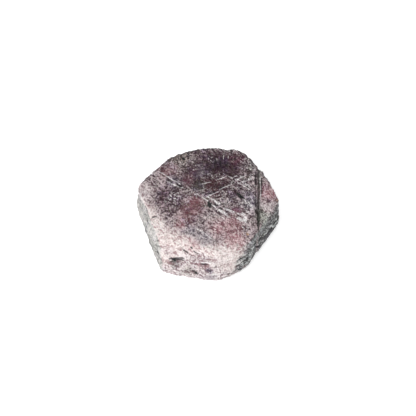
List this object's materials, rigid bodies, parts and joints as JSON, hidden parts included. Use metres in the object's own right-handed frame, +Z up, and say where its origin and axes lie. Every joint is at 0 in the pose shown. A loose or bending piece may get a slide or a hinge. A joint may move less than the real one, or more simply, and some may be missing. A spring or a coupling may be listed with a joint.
{
  "type": "raw ruby crystal",
  "caption": "Raw ruby crystal: a thick, worn hexagonal table of corundum with a broad top face, a long bevel at the front left, a narrow crack, and a flat base that it lies on.",
  "frame": {"origin": "under the middle of the crystal's box, in the plane of the flat base that it lies on", "axes": "+X from the left corner towards the right corner, +Y away from the long front bevel, +Z up, out of the broad top face"},
  "size_m": [0.0256, 0.0244, 0.01],
  "materials": {
    "ruby_corundum": "dull mauve corundum skin, sugary and scratched, frosted pale pink on its bevels and dark grey on its layered right sides"
  },
  "bodies": {
    "root": {"ruby_crystal": "ruby_corundum"}
  },
  "joints": []
}
